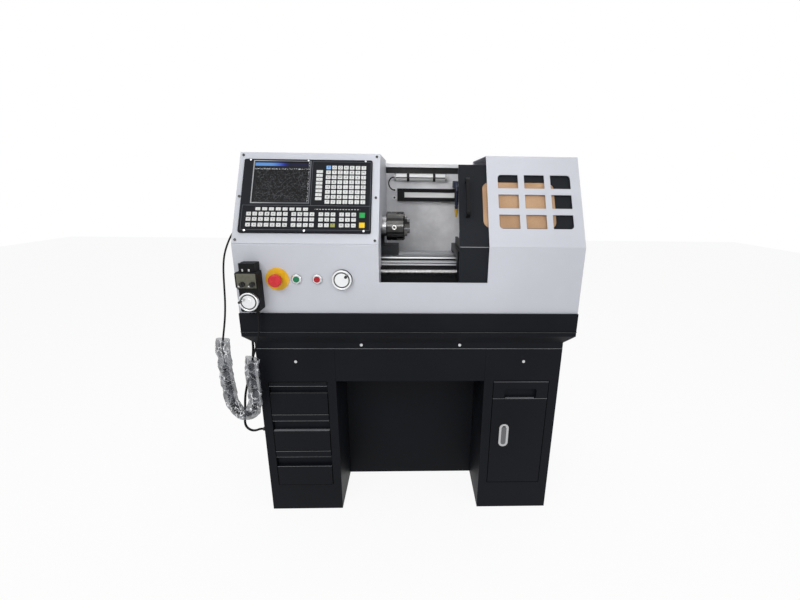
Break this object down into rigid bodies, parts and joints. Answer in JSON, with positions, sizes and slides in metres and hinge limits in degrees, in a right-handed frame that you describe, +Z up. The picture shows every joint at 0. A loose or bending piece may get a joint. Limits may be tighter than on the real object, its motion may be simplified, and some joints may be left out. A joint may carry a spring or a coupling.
{
  "type": "mini cnc lathe",
  "caption": "Small computer-controlled lathe: a chuck and carriage in a folded sheet enclosure with a sloping control panel, sliding door and hand pendant, on a drawer and cupboard stand.",
  "frame": {"origin": "on the floor under the middle of the machine, cords left out", "axes": "+X to the operator's right along the spindle, +Y to the back, +Z up"},
  "size_m": [1.188, 0.51, 1.2912],
  "materials": {
    "enclosure_paint": "satin powder coat, light cool grey",
    "stand_paint": "fine textured powder coat, blue black",
    "plate_paint": "satin powder coat, light cool grey",
    "bezel_plastic": "moulded, fine grain",
    "screen_glass": "dark display window",
    "key_film": "printed membrane with domed keys",
    "yellow_plastic": "moulded",
    "red_plastic": "moulded",
    "green_plastic": "moulded",
    "bezel_metal": "plated rings",
    "wheel_metal": "turned and brushed",
    "pane": "clear sheet with its brown paper still on",
    "black_plastic": "moulded",
    "rail_steel": "folded strip",
    "bed_iron": "ground ways on a painted casting",
    "head_iron": "painted casting",
    "spindle_steel": "ground",
    "bearing_steel": "ground",
    "belt_rubber": "ribbed belt",
    "motor_paint": "black",
    "chuck_steel": "ground, dark",
    "jaw_steel": "hardened",
    "screw_steel": "ground and threaded",
    "slide_iron": "dark painted casting",
    "post_steel": "blackened",
    "lamp_body": "black frame with a white diffuser",
    "tube_glass": "white diffusing tube",
    "hose_plastic": "jointed hose with a yellow nozzle",
    "latch_chrome": "plated",
    "cord_rubber": "black jacket",
    "film": "clear crinkled wrapping film",
    "screw_zinc": "small heads"
  },
  "bodies": {
    "base": {"left_pedestal": "stand_paint", "right_pedestal": "stand_paint", "stand_bridge": "stand_paint", "chip_tray": "stand_paint", "left_housing": "enclosure_paint", "right_housing": "enclosure_paint", "front_sill": "enclosure_paint", "rear_wall": "enclosure_paint", "rear_cover": "enclosure_paint", "control_plate": "plate_paint", "panel_bezel": "bezel_plastic", "screen": "screen_glass", "keypad": "key_film", "estop_disc": "yellow_plastic", "control_bezels": "bezel_metal", "door_rails": "rail_steel", "bed": "bed_iron", "headstock": "head_iron", "spindle_bearings": "bearing_steel", "drive_belt": "belt_rubber", "spindle_motor": "motor_paint", "z_motor": "motor_paint", "work_lamp": "lamp_body", "tube_lamp": "tube_glass", "coolant_nozzle": "hose_plastic", "pendant_body": "black_plastic", "pendant_leads": "cord_rubber", "curly_cord": "cord_rubber", "supply_cable": "cord_rubber", "film_sleeve": "film", "cable_glands": "black_plastic", "cover_screws": "screw_zinc"},
    "drawer_upper": {"drawer_upper": "stand_paint"},
    "drawer_middle": {"drawer_middle": "stand_paint"},
    "drawer_lower": {"drawer_lower": "stand_paint"},
    "cabinet_leaf": {"cabinet_door": "stand_paint", "latch_body": "latch_chrome"},
    "latch": {"latch_paddle": "latch_chrome"},
    "door": {"sliding_door": "stand_paint", "door_window": "pane", "door_handle": "black_plastic"},
    "spindle_unit": {"spindle": "spindle_steel", "chuck_body": "chuck_steel"},
    "jaw_1": {"chuck_jaw_1": "jaw_steel"},
    "jaw_2": {"chuck_jaw_2": "jaw_steel"},
    "jaw_3": {"chuck_jaw_3": "jaw_steel"},
    "motor_rotor": {"motor_pulley": "wheel_metal"},
    "lead_screw": {"z_screw": "screw_steel"},
    "carriage": {"saddle": "slide_iron", "x_motor": "motor_paint"},
    "cross": {"cross_slide": "slide_iron", "tool_post": "post_steel"},
    "cross_screw": {"x_screw": "screw_steel"},
    "estop": {"estop_button": "red_plastic"},
    "start": {"start_button": "green_plastic"},
    "stop": {"stop_button": "red_plastic"},
    "jog": {"jog_wheel": "wheel_metal"},
    "pendant_dial": {"pendant_wheel": "wheel_metal"},
    "axis_selector": {"pendant_axis_knob": "black_plastic"},
    "step_selector": {"pendant_step_knob": "black_plastic"}
  },
  "joints": [
    {"name": "drawer_upper_slide", "type": "slide", "parent": "base", "child": "drawer_upper", "axis": [0, -1, 0], "range_m": [0, 0.25]},
    {"name": "drawer_middle_slide", "type": "slide", "parent": "base", "child": "drawer_middle", "axis": [0, -1, 0], "range_m": [0, 0.25]},
    {"name": "drawer_lower_slide", "type": "slide", "parent": "base", "child": "drawer_lower", "axis": [0, -1, 0], "range_m": [0, 0.25]},
    {"name": "cabinet_door_hinge", "type": "hinge", "parent": "base", "child": "cabinet_leaf", "pos_m": [0.4825, -0.161, 0.3265], "axis": [0, 0, 1], "range_deg": [0, 110]},
    {"name": "latch_pull", "type": "hinge", "parent": "cabinet_leaf", "child": "latch", "pos_m": [0.34, -0.1655, 0.3515], "axis": [-1, 0, 0], "range_deg": [0, 40]},
    {"name": "door_slide", "type": "slide", "parent": "base", "child": "door", "axis": [-1, 0, 0], "range_m": [0, 0.253]},
    {"name": "spindle_spin", "type": "hinge", "parent": "base", "child": "spindle_unit", "pos_m": [-0.086, 0.017, 1.055], "axis": [1, 0, 0], "continuous": true},
    {"name": "jaw_1_slide", "type": "slide", "parent": "spindle_unit", "child": "jaw_1", "axis": [0, -0.5, 0.866], "range_m": [-0.003, 0.005]},
    {"name": "jaw_2_slide", "type": "slide", "parent": "spindle_unit", "child": "jaw_2", "axis": [0, -0.5, -0.866], "range_m": [-0.003, 0.005]},
    {"name": "jaw_3_slide", "type": "slide", "parent": "spindle_unit", "child": "jaw_3", "axis": [0, 1, 0], "range_m": [-0.003, 0.005]},
    {"name": "motor_spin", "type": "hinge", "parent": "base", "child": "motor_rotor", "pos_m": [-0.325, 0.174, 1.04], "axis": [1, 0, 0], "continuous": true},
    {"name": "carriage_slide", "type": "slide", "parent": "base", "child": "carriage", "axis": [1, 0, 0], "range_m": [-0.165, 0.165]},
    {"name": "lead_screw_spin", "type": "hinge", "parent": "base", "child": "lead_screw", "pos_m": [0, -0.092, 0.912], "axis": [1, 0, 0], "continuous": true},
    {"name": "cross_slide_feed", "type": "slide", "parent": "carriage", "child": "cross", "axis": [0, 1, 0], "range_m": [-0.02, 0.044]},
    {"name": "cross_screw_spin", "type": "hinge", "parent": "carriage", "child": "cross_screw", "pos_m": [0.22497, 0.017, 0.987], "axis": [0, 1, 0], "continuous": true},
    {"name": "estop_push", "type": "slide", "parent": "base", "child": "estop", "axis": [0, 1, 0], "range_m": [0, 0.006]},
    {"name": "start_push", "type": "slide", "parent": "base", "child": "start", "axis": [0, 1, 0], "range_m": [0, 0.003], "stiffness_N_per_m": 400},
    {"name": "stop_push", "type": "slide", "parent": "base", "child": "stop", "axis": [0, 1, 0], "range_m": [0, 0.003], "stiffness_N_per_m": 400},
    {"name": "jog_spin", "type": "hinge", "parent": "base", "child": "jog", "pos_m": [-0.2165, -0.183, 0.906], "axis": [0, 1, 0], "continuous": true},
    {"name": "pendant_wheel_spin", "type": "hinge", "parent": "base", "child": "pendant_dial", "pos_m": [-0.494, -0.228, 0.846], "axis": [0, 1, 0], "continuous": true},
    {"name": "axis_select", "type": "hinge", "parent": "base", "child": "axis_selector", "pos_m": [-0.509, -0.228, 0.9], "axis": [0, 1, 0], "range_deg": [-60, 90]},
    {"name": "step_select", "type": "hinge", "parent": "base", "child": "step_selector", "pos_m": [-0.479, -0.228, 0.9], "axis": [0, 1, 0], "range_deg": [-45, 45]}
  ],
  "couplings": [
    {"joint": "jaw_2_slide", "follows": "jaw_1_slide", "ratio": 1},
    {"joint": "jaw_3_slide", "follows": "jaw_1_slide", "ratio": 1},
    {"joint": "motor_spin", "follows": "spindle_spin", "ratio": 1.5833},
    {"joint": "lead_screw_spin", "follows": "carriage_slide", "rad_per_m": 1256.6},
    {"joint": "cross_screw_spin", "follows": "cross_slide_feed", "rad_per_m": 1570.8}
  ]
}
